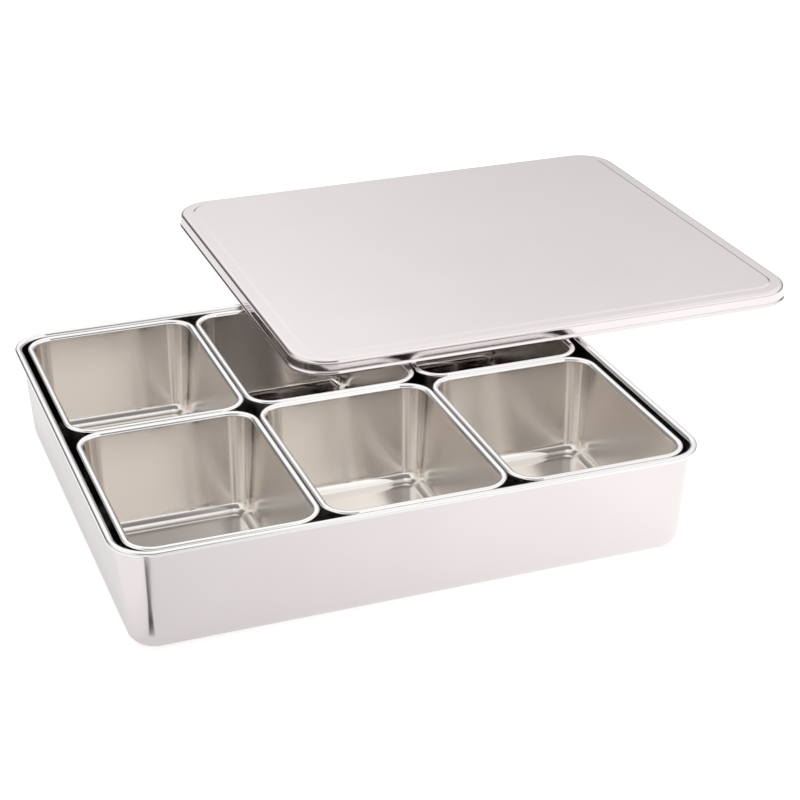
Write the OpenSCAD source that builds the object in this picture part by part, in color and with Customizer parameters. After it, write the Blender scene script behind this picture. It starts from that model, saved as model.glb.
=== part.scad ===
// Spice organizer box: a pressed steel tray with a rolled rim, six loose
// rectangular pans standing in it, and a pressed lid.
// The lid is drawn taken off and laid over the back right of the rims.
// Millimetres, Z up, origin at the centre of the tray's underside.

/* [Tray] */
// Width across the rolled rim, left to right
tray_w = 300; // [270:1:330]
// Depth across the rolled rim, front to back
tray_d = 264; // [240:1:290]
// Height from the underside to the top of the rim
tray_h = 57; // [45:0.5:70]
// Corner radius at the outer edge of the rim, seen from above
tray_corner_r = 21; // [16:0.5:30]
// Thickness of the sheet
tray_sheet = 0.8; // [0.6:0.1:1.2]
// How far each wall leans in between the rim and the floor
tray_draft = 3.5; // [1:0.5:6]
// Outside radius between wall and floor
tray_floor_r = 8; // [4:0.5:10]
// Width of the rolled rim, from the inner face of the wall
tray_rim_w = 4.2; // [3.4:0.1:5.5]
// Height of the rolled rim
tray_rim_h = 3; // [2.4:0.1:4]

/* [Pans] */
// How far the pans' rims lie below the tray's rim
pan_rim_drop = 1; // [0.2:0.1:4]
// Free space between the end pans and the side walls of the tray
pan_side_gap = 3; // [1:0.1:6]
// Free space between the pans and the front and back walls
pan_end_gap = 1.6; // [0.8:0.1:5]
// Free space between the rims of neighbouring pans
pan_gap = 0.7; // [0.4:0.1:3]
// Space under a pan that stands on the floor of the tray
pan_seat = 0.3; // [0.1:0.1:1]
// Corner radius at the outer edge of a pan's rim
pan_corner_r = 15; // [13:0.5:22]
// Thickness of a pan's sheet
pan_sheet = 0.6; // [0.4:0.1:0.9]
// How far each wall of a pan leans in between rim and floor
pan_draft = 3; // [1:0.5:5]
// Outside radius between a pan's wall and its floor
pan_floor_r = 7; // [4:0.5:9]
// Width of a pan's rolled rim, from the inner face of its wall
pan_rim_w = 3.6; // [3:0.1:4.5]
// Height of a pan's rolled rim
pan_rim_h = 2.4; // [2:0.1:3]

/* [Lid] */
// Space between the lid's skirt and the tray's rim when the lid is on
lid_gap = 0.7; // [0.4:0.1:1.5]
// Thickness of the lid's sheet
lid_sheet = 0.8; // [0.6:0.1:1]
// Height of the lid from the bottom of its hem to the top of its panel
lid_h = 9.4; // [8:0.1:14]
// Outside radius between the shoulder and the skirt
lid_edge_r = 2.6; // [1.6:0.1:3.5]
// Width of the shoulder between the skirt and the raised panel
lid_shoulder_w = 8.2; // [6:0.1:12]
// Width of the sloped step up to the panel
lid_step_w = 1.2; // [0.8:0.1:2]
// Height of the step up to the panel
lid_step_h = 0.5; // [0.3:0.1:0.7]
// Radius of the rolled hem along the bottom of the skirt
lid_hem_r = 0.8; // [0.6:0.1:1.2]
// How far the lid reaches in over the tray from its right edge
lid_cover_x = 166.5; // [120:0.5:200]
// How far the lid reaches in over the tray from its back edge
lid_cover_y = 115.5; // [80:0.5:160]
// Space under the hem where the lid lies on the tray's rim
lid_seat = 0.3; // [0.1:0.1:1]

/* [Hidden] */

$fn = 96;

// Slit left between a curled rim and its wall
curl_slit = 0.3;
// Flat left on top of a rolled rim, between its bend and its curl
rim_flat_w = 0.5;

tray_inner_w = tray_w - 2 * tray_rim_w;
tray_inner_d = tray_d - 2 * tray_rim_w;

pan_columns = [-1, 0, 1];
pan_rows = [-1 / 2, 1 / 2];
pan_w = (tray_inner_w - 2 * pan_side_gap - 2 * pan_gap) / len(pan_columns);
pan_d = (tray_inner_d - 2 * pan_end_gap - pan_gap) / len(pan_rows);
pan_pitch_x = pan_w + pan_gap;
pan_pitch_y = pan_d + pan_gap;
pan_z = tray_sheet + pan_seat;
pan_h = tray_h - pan_rim_drop - pan_z;

// The skirt clears the tray's rim all round when the lid is on
lid_skirt_w = tray_w + 2 * (lid_gap + lid_sheet);
lid_skirt_d = tray_d + 2 * (lid_gap + lid_sheet);
lid_corner_r = tray_corner_r + lid_gap + lid_sheet;
lid_x = tray_w / 2 - lid_cover_x + lid_skirt_w / 2 + lid_hem_r;
lid_y = tray_d / 2 - lid_cover_y + lid_skirt_d / 2 + lid_hem_r;
lid_z = tray_h + lid_seat;

// Flat stretch of sheet in a section: one face runs from a to b, and the
// other lies across from it
module flat(a, b, across) {
    polygon([a, b, b + across, a + across]);
}

// Quarter bend of sheet in a section: its outer face has radius r about the
// centre, and it lies in the quadrant that toward points to
module bend(centre, r, sheet, toward) {
    translate(centre) intersection() {
        difference() {
            circle(r);
            circle(r - sheet);
        }
        translate([toward[0] < 0 ? -r : 0, toward[1] < 0 ? -r : 0]) square(r);
    }
}

// Half section of a drawn tub, r = 0 at the axis of its corner: floor, round
// bottom edge, leaning wall, wide bend out into the rim, narrow flat, hollow
// curl and the return that stops short of the wall. outer_r is the corner
// radius across the rim.
module tub_section(outer_r, h, sheet, draft, floor_r, rim_w, rim_h) {
    up = [0, sheet];
    inwards = [-sheet, 0];
    curl_r = rim_h / 2;
    rim_r = min(rim_h, rim_w - curl_r - rim_flat_w);
    rim_c = [outer_r - rim_w + rim_r, h - rim_r];
    curl_c = [outer_r - curl_r, h - curl_r];
    wall_top = [outer_r - rim_w + sheet, rim_c[1]];
    wall_foot = [wall_top[0] - draft, floor_r];
    floor_c = wall_foot - [floor_r, 0];

    flat([0, 0], [floor_c[0], 0], up);
    bend(floor_c, floor_r, sheet, [1, -1]);
    flat(wall_foot, wall_top, inwards);
    bend(rim_c, rim_r, sheet, [-1, 1]);
    flat([rim_c[0], h - sheet], [curl_c[0], h - sheet], up);
    bend(curl_c, curl_r, sheet, [1, 1]);
    bend(curl_c, curl_r, sheet, [1, -1]);
    flat([wall_top[0] + curl_slit, h - rim_h], [curl_c[0], h - rim_h], up);
}

// Half section of the lid, r = 0 at the axis of its corner and z = 0 at the
// bottom of the hem: panel, step, shoulder, rounded edge, skirt and hem
module lid_section() {
    r = lid_corner_r;
    shoulder_z = lid_h - lid_step_h;
    step_r = r - lid_shoulder_w;
    panel_r = step_r - lid_step_w;
    edge_c = [r - lid_edge_r, shoulder_z - lid_edge_r];
    down = [0, -lid_sheet];
    flat([0, lid_h], [panel_r, lid_h], down);
    flat([panel_r, lid_h], [step_r, shoulder_z], down);
    flat([step_r, shoulder_z], [edge_c[0], shoulder_z], down);
    bend(edge_c, lid_edge_r, lid_sheet, [1, 1]);
    flat([r, edge_c[1]], [r, lid_hem_r], [-lid_sheet, 0]);
    translate([r, lid_hem_r]) circle(lid_hem_r);
}

// A pressing with rounded corners, whose corner axes stand half_x and half_y
// from its middle: one quarter, mirrored to four. Each quarter sweeps the half
// section round its corner and along its two sides, and has its share of the
// flat middle, with the given underside and sheet.
module pressing(half_x, half_y, middle_z, sheet) {
    for (flip_x = [0, 1], flip_y = [0, 1])
        mirror([flip_x, 0, 0]) mirror([0, flip_y, 0])
            translate([half_x, half_y, 0]) {
                rotate_extrude(angle = 90) children();
                rotate([90, 0, 0]) linear_extrude(height = half_y) children();
                mirror([1, 0, 0]) rotate([90, 0, 90])
                    linear_extrude(height = half_x) children();
                translate([-half_x, -half_y, middle_z])
                    cube([half_x, half_y, sheet]);
            }
}

// A drawn tub of any size, standing on z = 0
module tub(w, d, h, corner_r, sheet, draft, floor_r, rim_w, rim_h) {
    pressing(w / 2 - corner_r, d / 2 - corner_r, 0, sheet)
        tub_section(corner_r, h, sheet, draft, floor_r, rim_w, rim_h);
}

// Outer tray, one piece of drawn sheet
module tray() {
    color("#d8d3cf")
        tub(tray_w, tray_d, tray_h, tray_corner_r, tray_sheet,
            tray_draft, tray_floor_r, tray_rim_w, tray_rim_h);
}

// One loose pan, standing in its column and row of the tray
module pan(column, row) {
    color("#b3a99f")
        translate([pan_columns[column] * pan_pitch_x, pan_rows[row] * pan_pitch_y, pan_z])
            tub(pan_w, pan_d, pan_h, pan_corner_r, pan_sheet,
                pan_draft, pan_floor_r, pan_rim_w, pan_rim_h);
}

// Lid, one piece of drawn sheet, laid over the back right of the rims
module lid() {
    color("#e6e0df")
        translate([lid_x, lid_y, lid_z])
            pressing(lid_skirt_w / 2 - lid_corner_r, lid_skirt_d / 2 - lid_corner_r,
                lid_h - lid_sheet, lid_sheet)
                lid_section();
}

tray();
pan(0, 0);  // pan_front_left
pan(1, 0);  // pan_front_middle
pan(2, 0);  // pan_front_right
pan(0, 1);  // pan_back_left
pan(1, 1);  // pan_back_middle
pan(2, 1);  // pan_back_right
lid();
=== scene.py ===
import math
import bmesh
import bpy
from mathutils import Matrix, Vector, noise


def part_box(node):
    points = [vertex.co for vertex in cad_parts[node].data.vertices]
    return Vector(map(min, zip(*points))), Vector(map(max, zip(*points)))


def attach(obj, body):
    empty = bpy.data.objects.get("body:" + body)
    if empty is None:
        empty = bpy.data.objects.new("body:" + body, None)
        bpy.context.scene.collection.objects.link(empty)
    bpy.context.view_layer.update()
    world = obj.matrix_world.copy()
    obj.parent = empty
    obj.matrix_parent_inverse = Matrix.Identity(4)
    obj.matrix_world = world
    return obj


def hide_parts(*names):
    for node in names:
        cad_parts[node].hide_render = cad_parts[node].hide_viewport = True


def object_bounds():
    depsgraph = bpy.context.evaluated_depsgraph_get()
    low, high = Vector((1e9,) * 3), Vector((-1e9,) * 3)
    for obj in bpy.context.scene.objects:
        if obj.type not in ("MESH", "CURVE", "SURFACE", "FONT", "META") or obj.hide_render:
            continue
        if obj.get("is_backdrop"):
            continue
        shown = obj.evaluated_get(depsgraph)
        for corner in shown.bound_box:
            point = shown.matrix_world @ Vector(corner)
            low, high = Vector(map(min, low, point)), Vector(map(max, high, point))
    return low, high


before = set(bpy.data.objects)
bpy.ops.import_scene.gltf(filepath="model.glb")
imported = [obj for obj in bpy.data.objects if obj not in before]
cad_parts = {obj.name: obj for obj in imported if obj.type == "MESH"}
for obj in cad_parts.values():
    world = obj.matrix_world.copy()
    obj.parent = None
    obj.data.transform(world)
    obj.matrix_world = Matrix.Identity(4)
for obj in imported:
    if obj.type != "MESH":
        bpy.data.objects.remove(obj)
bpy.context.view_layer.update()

# Tray. The outer box of the set: one sheet of stainless steel, deep drawn to
# leaning walls and round corners, with its edge rolled outwards into a hollow
# curl. The six pans stand in it.
MM = 0.001
TRAY_CORNER = 21 * MM
TRAY_SHEET = 0.8 * MM
TRAY_DRAFT = 3.5 * MM
TRAY_FLOOR_ROUND = 8 * MM
TRAY_RIM = (4.2 * MM, 3 * MM)
CURL_SLIT = 0.3 * MM
RIM_FLAT = 0.5 * MM
# Segments of each arc of a section, and of the sweep round the piece
FLOOR_ARC, NECK_ARC, CURL_ARC, RIM_ARC = 12, 7, 5, 9
CORNER_STEPS, SIDE_CUTS = 24, 8
# Wires that rise by more than the second length are cut into pieces shorter
# than the first
WALL_CUT, LONG_WIRE = 3 * MM, 15 * MM
MERGE_WITHIN, COLLAPSE_WITHIN = 1e-6, 1e-7
SHARP_ANGLE = math.radians(35)
# The steel of all the pieces: the heights from rim down to wall, over which the rims'
# painted highlight and roughness give way to the walls', the upward parts of the normal
# from floor to wall, a small pull that keeps the sideways direction from vanishing on level
# faces, the brushed grain and the soft clouds
RIM_HEIGHTS = (54.5 * MM, 52 * MM)
WALL_NORMALS = (0.4, 0.1)
SIDE_PULL = (0.02, 0, 0)
GRAIN_STRETCH, GRAIN_DETAIL, GRAIN_SHADES = (900, 900, 40), 2, (0.93, 1.07)
CLOUD_SCALE, CLOUD_DETAIL, CLOUD_SHADES = 22, 3, (0.97, 1.03)


def wire_section(bm, corners):
    """Wire of a section in the XZ plane, from corners (r, z, round, segments)."""
    verts = [bm.verts.new((r, 0, z)) for r, z, _, _ in corners]
    for a, b in zip(verts, verts[1:]):
        bm.edges.new((a, b))
    for vert, (_, _, bend, segments) in zip(verts, corners):
        if bend:
            arms = [edge.other_vert(vert).co - vert.co for edge in vert.link_edges]
            turn = math.pi - arms[0].angle(arms[1])
            bmesh.ops.bevel(
                bm, geom=[vert], offset=bend * math.tan(turn / 2), offset_type="OFFSET",
                affect="VERTICES", segments=segments, profile=0.5, material=-1,
                clamp_overlap=False)


def tub_corners(corner, height, sheet, draft, floor_round, rim):
    """Closed outline of a drawn tub's sheet, from the axis of its corner."""
    rim_w, rim_h = rim
    curl = rim_h / 2
    bend = rim_w - curl - RIM_FLAT
    inner = corner - rim_w
    lean = draft / (height - bend - floor_round)
    outer_foot = inner + sheet - draft - lean * floor_round
    outer_top = inner + sheet + lean * (bend - sheet)
    slit_end = inner + sheet + CURL_SLIT
    return [
        (0, 0, 0, 0),
        (outer_foot, 0, floor_round, FLOOR_ARC),
        (outer_top, height - sheet, bend - sheet, NECK_ARC),
        (corner - sheet, height - sheet, curl - sheet, CURL_ARC),
        (corner - sheet, height - rim_h + sheet, curl - sheet, CURL_ARC),
        (slit_end, height - rim_h + sheet, 0, 0),
        (slit_end, height - rim_h, 0, 0),
        (corner, height - rim_h, curl, RIM_ARC),
        (corner, height, curl, RIM_ARC),
        (inner + lean * bend, height, bend, RIM_ARC),
        (outer_foot - sheet + lean * sheet, sheet, floor_round - sheet, FLOOR_ARC),
        (0, sheet, 0, 0),
    ]


def cut_walls(bm, low, high):
    """Cuts the long wires of the walls into short lengths."""
    walls = [e for e in bm.edges if abs(e.verts[0].co.z - e.verts[1].co.z) > LONG_WIRE]
    bmesh.ops.subdivide_edges(bm, edges=walls, cuts=int((high - low) / WALL_CUT))


def sweep_round(bm, half_x, half_y, side_cuts):
    """Sweeps the wire round a rounded rectangle: four sides, four corners."""
    bmesh.ops.translate(bm, verts=bm.verts[:], vec=(half_x, -half_y, 0))
    loop = bm.edges[:]
    quarters = [
        (Vector((0, 2 * half_y, 0)), (half_x, half_y, 0)),
        (Vector((-2 * half_x, 0, 0)), (-half_x, half_y, 0)),
        (Vector((0, -2 * half_y, 0)), (-half_x, -half_y, 0)),
        (Vector((2 * half_x, 0, 0)), (half_x, -half_y, 0)),
    ]
    for side, axis in quarters:
        for _ in range(side_cuts):
            grown = bmesh.ops.extrude_edge_only(bm, edges=loop)["geom"]
            loop = [g for g in grown if isinstance(g, bmesh.types.BMEdge)]
            ends = [g for g in grown if isinstance(g, bmesh.types.BMVert)]
            bmesh.ops.translate(bm, verts=ends, vec=side / side_cuts)
        turned = bmesh.ops.spin(
            bm, geom=loop + ends, cent=axis, axis=(0, 0, 1), angle=math.pi / 2,
            steps=CORNER_STEPS, use_merge=False)["geom_last"]
        loop = [g for g in turned if isinstance(g, bmesh.types.BMEdge)]
    bmesh.ops.remove_doubles(bm, verts=bm.verts[:], dist=MERGE_WITHIN)
    bmesh.ops.dissolve_degenerate(bm, edges=bm.edges[:], dist=COLLAPSE_WITHIN)
    open_edges = [e for e in bm.edges if e.is_boundary]
    bmesh.ops.holes_fill(bm, edges=open_edges, sides=0)
    bmesh.ops.recalc_face_normals(bm, faces=bm.faces[:])


def pressed_piece(name, bm, centre, material, body):
    """Turns a finished bmesh into a piece that stands for its CAD node."""
    bmesh.ops.translate(bm, verts=bm.verts[:], vec=centre)
    for face in bm.faces:
        face.smooth = True
    for edge in bm.edges:
        edge.smooth = edge.calc_face_angle(0) < SHARP_ANGLE
    mesh = bpy.data.meshes.new(name)
    bm.to_mesh(mesh)
    bm.free()
    mesh.materials.append(material)
    piece = bpy.data.objects.new(name, mesh)
    bpy.context.scene.collection.objects.link(piece)
    weighted = piece.modifiers.new("weighted", "WEIGHTED_NORMAL")
    weighted.keep_sharp = True
    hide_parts(body)
    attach(piece, body)


def plug(tree, node, sockets):
    """Sets each named socket of a node to its value, or links it to its source."""
    for socket, source in sockets.items():
        if isinstance(source, bpy.types.NodeSocket):
            tree.links.new(source, node.inputs[socket])
        else:
            node.inputs[socket].default_value = source


def add_node(tree, kind, sockets, **settings):
    """Adds a shader node, makes its settings, and plugs its sockets."""
    node = tree.nodes.new(f"ShaderNode{kind}")
    for setting, value in settings.items():
        setattr(node, setting, value)
    plug(tree, node, sockets)
    return node


def vector_math(tree, operation, a, b):
    """Sum or cross product of two vectors."""
    node = add_node(tree, "VectorMath", {0: a, 1: b}, operation=operation)
    return node.outputs["Vector"]


def number_math(tree, operation, *terms):
    """One step of arithmetic on one or two numbers."""
    node = add_node(tree, "Math", dict(enumerate(terms)), operation=operation)
    return node.outputs["Value"]


def map_range(tree, source, start, end, low=0, high=1, curve="LINEAR"):
    """Runs from low to high while the source runs from start to end."""
    return add_node(tree, "MapRange", {
        "Value": source, "From Min": start, "From Max": end,
        "To Min": low, "To Max": high}, interpolation_type=curve).outputs["Result"]


def mix_colours(tree, blend, share, a, b):
    """Two colours put together by a share."""
    return add_node(
        tree, "Mix", {"Factor": share, "A": a, "B": b},
        data_type="RGBA", blend_type=blend).outputs["Result"]


def steel(name, tint, rim_tint_and_painted_sheen, rough, satin, drawn):
    """Stainless steel with brushed grain and soft clouds, in one tint on walls and floors
    and in another at rim height, where the colour is painted lighter and whiter as a
    painted highlight along the rims. Floors and rims have the first roughness and upright
    walls the second. Drawn is how far the walls mirror more softly up and down than
    sideways."""
    material = bpy.data.materials.new(name)
    material.use_nodes = True
    tree = material.node_tree
    coords = add_node(tree, "TexCoord", {})
    normal, place = coords.outputs["Normal"], coords.outputs["Object"]
    level = vector_math(tree, "CROSS_PRODUCT", normal, (0, 0, 1))
    sideways = vector_math(tree, "ADD", level, SIDE_PULL)
    up_and_down = vector_math(tree, "CROSS_PRODUCT", normal, sideways)
    facing_up = add_node(tree, "SeparateXYZ", {"Vector": normal}).outputs["Z"]
    height = add_node(tree, "SeparateXYZ", {"Vector": place}).outputs["Z"]
    upright = map_range(tree, number_math(tree, "ABSOLUTE", facing_up), *WALL_NORMALS)
    below_rim = map_range(tree, height, *RIM_HEIGHTS)
    wall_share = number_math(tree, "MULTIPLY", upright, below_rim)
    stretched = add_node(tree, "Mapping", {"Vector": place, "Scale": GRAIN_STRETCH})
    grain = add_node(tree, "TexNoise", {
        "Vector": stretched.outputs["Vector"], "Scale": 1, "Detail": GRAIN_DETAIL})
    clouds = add_node(tree, "TexNoise", {
        "Vector": place, "Scale": CLOUD_SCALE, "Detail": CLOUD_DETAIL})
    # The rims' colour is painted lighter and whiter than the walls': a painted highlight
    # that fades out from rim height down to the wall.
    tint_with_painted_rim_sheen = mix_colours(tree, "MIX", below_rim, (*rim_tint_and_painted_sheen, 1), (*tint, 1))
    cloud_shade = map_range(tree, clouds.outputs["Fac"], 0, 1, *CLOUD_SHADES)
    grain_shade = map_range(tree, grain.outputs["Fac"], 0, 1, *GRAIN_SHADES)
    even_rough = map_range(tree, wall_share, 0, 1, rough, satin)
    plug(tree, tree.nodes["Principled BSDF"], {
        "Metallic": 1, "Anisotropic": drawn, "Tangent": up_and_down,
        "Base Color": mix_colours(tree, "MULTIPLY", 1, tint_with_painted_rim_sheen, cloud_shade),
        "Roughness": number_math(tree, "MULTIPLY", grain_shade, even_rough)})
    return material


tray_low, tray_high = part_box("tray")
tray_mid = (tray_low + tray_high) / 2
# The tray's rim colour is a painted highlight, lighter and whiter than its walls.
tray_steel = steel(
    "tray_steel", tint=(0.825, 0.772, 0.768), rim_tint_and_painted_sheen=(0.92, 0.9, 0.895),
    rough=0.14, satin=0.16, drawn=0.3)
tray_bm = bmesh.new()
wire_section(tray_bm, tub_corners(
    TRAY_CORNER, tray_high.z - tray_low.z, TRAY_SHEET, TRAY_DRAFT,
    TRAY_FLOOR_ROUND, TRAY_RIM))
cut_walls(tray_bm, tray_low.z, tray_high.z)
sweep_round(
    tray_bm, tray_high.x - tray_mid.x - TRAY_CORNER,
    tray_high.y - tray_mid.y - TRAY_CORNER, SIDE_CUTS)
pressed_piece(
    "outer_tray", tray_bm, (tray_mid.x, tray_mid.y, tray_low.z), tray_steel,
    "tray")

# Pans. Six loose pans in two rows of three, deep drawn from thinner sheet than
# the tray, with satin walls and a rim curled outwards like the tray's. The
# walls spring out of the die with a slight bow.
PAN_CORNER = 15 * MM
PAN_SHEET = 0.6 * MM
PAN_DRAFT = 3 * MM
PAN_FLOOR_ROUND = 7 * MM
PAN_RIM = (3.6 * MM, 2.4 * MM)
PAN_SIDE_CUTS = 16
PAN_BOW = 0.25 * MM
# The waves in the bow: their share of it, how close they are, and how far the
# place of a pan shifts them
WAVE_SHARE, WAVE_SCALE, WAVE_SHIFT = 0.6, 18, 7
# The level part of the normal from which a face counts as wall
WALL_OUTWARDS = 0.5


def bow_walls(bm, low, high, seed):
    """Lets the walls bow outwards between floor and rim, and wave a little."""
    span = high - low
    for vert in bm.verts:
        height = (vert.co.z - low) / span
        outwards = Vector((vert.normal.x, vert.normal.y, 0))
        if 0 < height < 1 and outwards.length > WALL_OUTWARDS:
            if outwards.dot(vert.co) < 0:
                outwards.negate()
            wave = WAVE_SHARE * noise.noise(vert.co * WAVE_SCALE + Vector((seed, 0, 0)))
            vert.co += outwards * PAN_BOW * (1 + wave) * math.sin(math.pi * height)


# The pans' rim colour is a painted highlight, lighter and whiter than their walls.
pan_steel = steel(
    "pan_steel", tint=(0.858, 0.823, 0.788), rim_tint_and_painted_sheen=(0.92, 0.9, 0.89),
    rough=0.08, satin=0.18, drawn=0.85)
for row in ("front", "back"):
    for column in ("left", "middle", "right"):
        node = f"pan_{row}_{column}"
        low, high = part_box(node)
        mid = (low + high) / 2
        pan_bm = bmesh.new()
        wire_section(pan_bm, tub_corners(
            PAN_CORNER, high.z - low.z, PAN_SHEET, PAN_DRAFT, PAN_FLOOR_ROUND, PAN_RIM))
        cut_walls(pan_bm, low.z, high.z)
        sweep_round(
            pan_bm, high.x - mid.x - PAN_CORNER, high.y - mid.y - PAN_CORNER, PAN_SIDE_CUTS)
        bow_walls(
            pan_bm, PAN_FLOOR_ROUND, high.z - low.z - PAN_RIM[1], WAVE_SHIFT * mid.x)
        pressed_piece(
            f"drawn_{node}", pan_bm, (mid.x, mid.y, low.z), pan_steel, node)

# Lid. One shallow pressing with a raised panel, a shoulder round it and a short
# skirt that flares into a rolled hem. It lies across the back right of the rims.
LID_SHEET = 0.8 * MM
LID_GAP = 0.7 * MM
LID_CORNER = TRAY_CORNER + LID_GAP + LID_SHEET
LID_HEM = 0.8 * MM
# The flare's upper and lower bend: the height and the radius of each
LID_FLARE = [(2.4 * MM, 1.5 * MM), (1.3 * MM, 0.5 * MM)]
LID_EDGE_ROUND = 2.6 * MM
LID_SHOULDER = 8.2 * MM
LID_STEP = (1.2 * MM, 0.5 * MM)
LID_STEP_ROUND, LID_STEP_ROUND_INSIDE = 0.35 * MM, 0.8 * MM
# Segments of the arcs of the step and the edge, outside and inside, and of the
# flare and the hem
STEP_ARC, STEP_ARC_INSIDE, EDGE_ARC, EDGE_ARC_INSIDE = 3, 4, 10, 8
FLARE_ARC, HEM_ARC = 6, 8
lid_low, lid_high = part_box("lid")
lid_mid = (lid_low + lid_high) / 2
lid_h = lid_high.z - lid_low.z
shoulder_z = lid_h - LID_STEP[1]
step_r = LID_CORNER - LID_SHOULDER
panel_r = step_r - LID_STEP[0]
hem_r = LID_CORNER + LID_HEM
inside_r = LID_CORNER - LID_SHEET
(flare_top, flare_round), (flare_foot, foot_round) = LID_FLARE
lid_steel = steel(
    "lid_steel", tint=(0.85, 0.79, 0.79), rim_tint_and_painted_sheen=(0.85, 0.795, 0.795),
    rough=0.14, satin=0.16, drawn=0)
lid_bm = bmesh.new()
wire_section(lid_bm, [
    (0, lid_h, 0, 0),
    (panel_r, lid_h, LID_STEP_ROUND, STEP_ARC),
    (step_r, shoulder_z, LID_STEP_ROUND, STEP_ARC),
    (LID_CORNER, shoulder_z, LID_EDGE_ROUND, EDGE_ARC),
    (LID_CORNER, flare_top, flare_round, FLARE_ARC),
    (hem_r, flare_foot, foot_round, FLARE_ARC),
    (hem_r, 0, LID_HEM, HEM_ARC),
    (inside_r, 0, LID_HEM, HEM_ARC),
    (inside_r, shoulder_z - LID_SHEET, LID_EDGE_ROUND - LID_SHEET, EDGE_ARC_INSIDE),
    (step_r, shoulder_z - LID_SHEET, LID_STEP_ROUND_INSIDE, STEP_ARC_INSIDE),
    (panel_r, lid_h - LID_SHEET, LID_STEP_ROUND_INSIDE, STEP_ARC_INSIDE),
    (0, lid_h - LID_SHEET, 0, 0),
])
sweep_round(
    lid_bm, lid_high.x - lid_mid.x - LID_CORNER - LID_HEM,
    lid_high.y - lid_mid.y - LID_CORNER - LID_HEM, SIDE_CUTS)
pressed_piece(
    "laid_lid", lid_bm, (lid_mid.x, lid_mid.y, lid_low.z), lid_steel, "lid")

# Floor. A plain white table top under the set. It takes the set's soft shadow
# and shows white to the camera. In the steel it shows brighter to the right,
# and brighter again past the tray's left side.
FLOOR_REACH = 3
FLOOR_BELOW = 0.2 * MM
FLOOR_WHITE = 0.85
# How brightly it glows to the camera, and the share of what the steel shows of
# it that comes from the brightness below
CAMERA_LIFT, STEEL_SHARE = 0.55, 0.6
# Places on the left to right axis, in metres, and the brightness at each
ACROSS_PLACES, ACROSS_LIGHT = (-0.15, 0.15), (0.9, 1.47)
LEFT_PLACES, LEFT_LIGHT = (-0.139, -0.148), (0, 1.03)
FAR_LEFT_PLACES, FAR_LEFT_GAIN = (-0.152, -0.18), (1, 1.2)


def grey(level):
    """Neutral colour of one brightness."""
    return (level, level, level, 1)


def stage_paint(name):
    """Material for the stage, bare but for its output, and its nodes."""
    paint = bpy.data.materials.new(name)
    paint.use_nodes = True
    paint.node_tree.nodes.remove(paint.node_tree.nodes["Principled BSDF"])
    return paint, paint.node_tree


def stage_piece(name, bm, paint):
    """Turns a finished bmesh into a piece of the stage."""
    mesh = bpy.data.meshes.new(name)
    bm.to_mesh(mesh)
    bm.free()
    mesh.materials.append(paint)
    piece = bpy.data.objects.new(name, mesh)
    bpy.context.scene.collection.objects.link(piece)
    return piece


floor_bm = bmesh.new()
bmesh.ops.create_grid(floor_bm, x_segments=1, y_segments=1, size=FLOOR_REACH)
bmesh.ops.translate(floor_bm, verts=floor_bm.verts[:], vec=(0, 0, -FLOOR_BELOW))
floor_paint, paint_tree = stage_paint("floor_paint")
floor_place = add_node(paint_tree, "TexCoord", {}).outputs["Object"]
floor_x = add_node(paint_tree, "SeparateXYZ", {"Vector": floor_place}).outputs["X"]
across = map_range(paint_tree, floor_x, *ACROSS_PLACES, *ACROSS_LIGHT)
past_left = number_math(
    paint_tree, "MULTIPLY", map_range(paint_tree, floor_x, *LEFT_PLACES, *LEFT_LIGHT),
    map_range(paint_tree, floor_x, *FAR_LEFT_PLACES, *FAR_LEFT_GAIN))
mirrored = add_node(paint_tree, "Emission", {
    "Strength": number_math(paint_tree, "MAXIMUM", across, past_left)})
rays = add_node(paint_tree, "LightPath", {}).outputs
lift = number_math(paint_tree, "MULTIPLY", rays["Is Camera Ray"], CAMERA_LIFT)
in_steel = number_math(paint_tree, "MULTIPLY", rays["Is Glossy Ray"], STEEL_SHARE)
matt = add_node(paint_tree, "BsdfDiffuse", {"Color": grey(FLOOR_WHITE)})
glow = add_node(paint_tree, "Emission", {"Strength": lift})
table_top = add_node(paint_tree, "AddShader", {
    0: matt.outputs["BSDF"], 1: glow.outputs["Emission"]})
shown = add_node(paint_tree, "MixShader", {
    0: in_steel, 1: table_top.outputs["Shader"], 2: mirrored.outputs["Emission"]})
plug(paint_tree, paint_tree.nodes["Material Output"], {"Surface": shown.outputs["Shader"]})
floor = stage_piece("floor", floor_bm, floor_paint)
floor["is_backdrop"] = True

# Dark card. A strip of card that lies on the table and points away from the
# tray's front left corner, dark on its left and, past its first centimetre, paler
# on its right the further out it goes. Only the steel shows it, as a dark line.
# Rows: the middle and the width in millimetres, the tones at left and right
CARD_ROWS = [
    ((-139.5, -134), 8, 0.3, 0.6), ((-145, -142.5), 9, 0, 0.1),
    ((-151.5, -155), 9, 0, 0.35), ((-157.5, -172), 20, 0, 0.8),
    ((-162.5, -190), 34, 0.1, 0.85)]
CARD_ACROSS = Vector((0.92, -0.39, 0))
card_bm = bmesh.new()
card_tone = card_bm.verts.layers.float_color.new("tone")
card_sides = []
for (x, y), width, left_tone, right_tone in CARD_ROWS:
    middle, half = Vector((x, y, 0)) * MM, CARD_ACROSS * MM * width / 2
    card_sides.append((card_bm.verts.new(middle - half), card_bm.verts.new(middle + half)))
    for vert, tone in zip(card_sides[-1], (left_tone, right_tone)):
        vert[card_tone] = grey(tone)
for near, far in zip(card_sides, card_sides[1:]):
    card_bm.faces.new((near[0], near[1], far[1], far[0]))
card_paper, paper_tree = stage_paint("card_paper")
card_shade = add_node(paper_tree, "Attribute", {}, attribute_name="tone")
card_light = add_node(paper_tree, "Emission", {"Color": card_shade.outputs["Color"]})
plug(paper_tree, paper_tree.nodes["Material Output"], {
    "Surface": card_light.outputs["Emission"]})
card = stage_piece("dark_card", card_bm, card_paper)
card.visible_camera = False
card.visible_diffuse = False
card.visible_shadow = False
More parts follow.
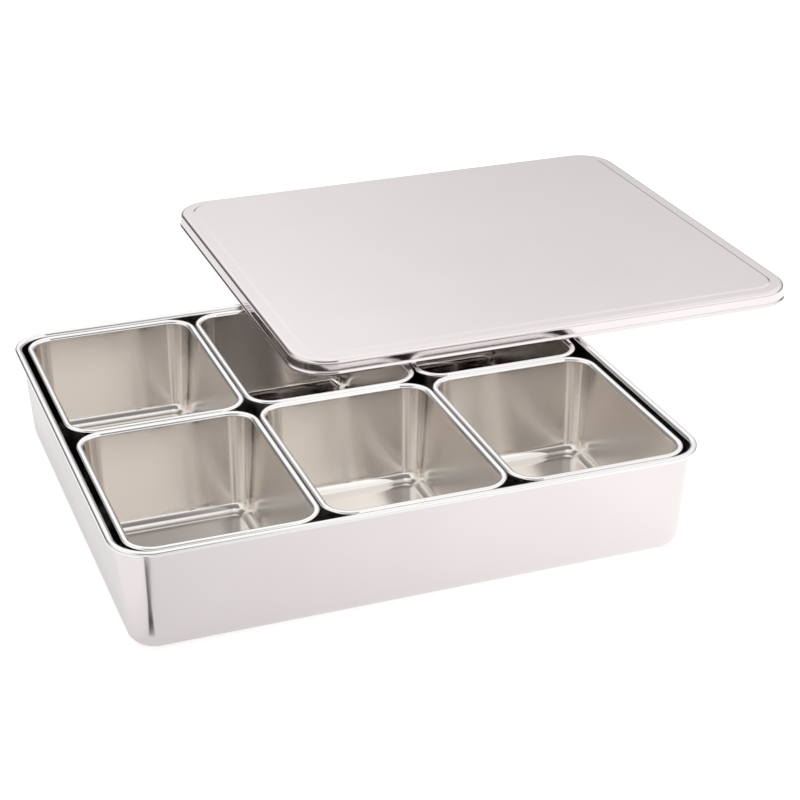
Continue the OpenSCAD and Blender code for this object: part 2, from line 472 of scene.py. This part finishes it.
card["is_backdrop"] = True

# Light. A white studio whose walls and ceiling shine by themselves: bright
# behind, overhead and at the front right, dim at the front left over a bright
# band, and dark near the table's level, so that rounded edges show fine lines.
# Rows of (height on the sky, brightness). A share darkens the part it is laid on:
# the back's lower left, and all that is near the table but the front right.
BACK = [(0.28, 0.85), (0.37, 0.93), (0.42, 1.05), (0.47, 1.15), (0.77, 1.13), (1, 1.06)]
BACK_LEFT_SHARE = [(0, 0.35), (0.5, 0.35), (0.68, 0.95), (1, 1)]
FRONT_RIGHT = [(0.15, 1), (0.4, 1.12), (0.52, 1.3), (0.65, 1.3), (0.78, 1.15), (1, 1.06)]
FRONT_LEFT = [
    (0.3, 1), (0.38, 1.2), (0.455, 1.2), (0.53, 0.6), (0.62, 0.34), (0.78, 0.25),
    (0.92, 0.25), (0.98, 1.06)]
NEAR_TABLE_SHARE = [(0, 0.25), (0.17, 0.28), (0.27, 1)]
BACK_SHADE, RIGHT_SHADE = 0.92, 0.87
# Borders on the sky: the axis, and where the next part begins and is complete
BACK_TO_SHADE = ("X", 0.12, -0.05)
BACK_TO_LEFT = ("X", -0.17, -0.26)
BACK_TO_FAR_LEFT = ("X", -0.55, -0.8)
FRONT_LEFT_TO_RIGHT = ("X", 0.19, 0.29)
FRONT_TO_FAR_LEFT = ("X", -0.5, -0.68)
NEAR_TABLE_TO_RIGHT = ("X", 0.1, 0.45)
NEAR_TABLE_TO_BACK = ("Y", -0.3, 0.1)
FRONT_TO_BACK = ("Y", -0.25, 0.05)
ALL_TO_RIGHT = ("X", 0.22, 0.42)
world = bpy.data.worlds.new("studio")
world.use_nodes = True
sky = world.node_tree
sky_place = add_node(sky, "TexCoord", {}).outputs["Generated"]
sky_split = add_node(sky, "SeparateXYZ", {"Vector": sky_place})
white = grey(1)


def by_height(rows):
    """Brightness by height on the sky."""
    ramp = add_node(sky, "ValToRGB", {"Fac": sky_split.outputs["Z"]})
    ramp.color_ramp.interpolation = "EASE"
    points = ramp.color_ramp.elements
    while len(points) < len(rows):
        points.new(1)
    for point, (place, light) in zip(points, rows):
        point.position = place
        point.color = grey(light)
    return ramp.outputs["Color"]


def sky_part(blend, border, before, after):
    """One part of the sky, and another that comes in across a border."""
    axis, begins, complete = border
    share = map_range(sky, sky_split.outputs[axis], begins, complete, curve="SMOOTHSTEP")
    return mix_colours(sky, blend, share, before, after)


back = sky_part("MULTIPLY", BACK_TO_SHADE, by_height(BACK), grey(BACK_SHADE))
back = sky_part("MULTIPLY", BACK_TO_LEFT, back, by_height(BACK_LEFT_SHARE))
back = sky_part("MIX", BACK_TO_FAR_LEFT, back, white)
front = sky_part(
    "MIX", FRONT_LEFT_TO_RIGHT, by_height(FRONT_LEFT), by_height(FRONT_RIGHT))
front = sky_part("MIX", FRONT_TO_FAR_LEFT, front, white)
near_table_back = by_height(NEAR_TABLE_SHARE)
near_table_front = sky_part("MIX", NEAR_TABLE_TO_RIGHT, near_table_back, white)
near_table = sky_part("MIX", NEAR_TABLE_TO_BACK, near_table_front, near_table_back)
all_round = sky_part("MIX", FRONT_TO_BACK, front, back)
all_round = sky_part("MULTIPLY", ALL_TO_RIGHT, all_round, grey(RIGHT_SHADE))
shining = mix_colours(sky, "MULTIPLY", 1, all_round, near_table)
camera_ray = add_node(sky, "LightPath", {}).outputs["Is Camera Ray"]
plug(sky, sky.nodes["Background"], {
    "Color": mix_colours(sky, "MIX", camera_ray, shining, white)})
bpy.context.scene.world = world

# Camera. The photograph's view: a long lens from the front left, above.
CAMERA_PLACE = (-0.2927, -0.8775, 0.4971)
CAMERA_HEADING, CAMERA_DOWN, CAMERA_ROLL = -20.45, 25.74, -0.08
CAMERA_LENS, CAMERA_SENSOR = 87.54, 36
camera_data = bpy.data.cameras.new("camera")
camera_data.lens = CAMERA_LENS
camera_data.sensor_width = CAMERA_SENSOR
camera = bpy.data.objects.new("camera", camera_data)
camera.matrix_world = (
    Matrix.Translation(CAMERA_PLACE)
    @ Matrix.Rotation(math.radians(CAMERA_HEADING), 4, "Z")
    @ Matrix.Rotation(math.radians(90 - CAMERA_DOWN), 4, "X")
    @ Matrix.Rotation(math.radians(CAMERA_ROLL), 4, "Z"))
bpy.context.scene.collection.objects.link(camera)
bpy.context.scene.camera = camera

bpy.context.scene.view_settings.view_transform = "Standard"
low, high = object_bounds()
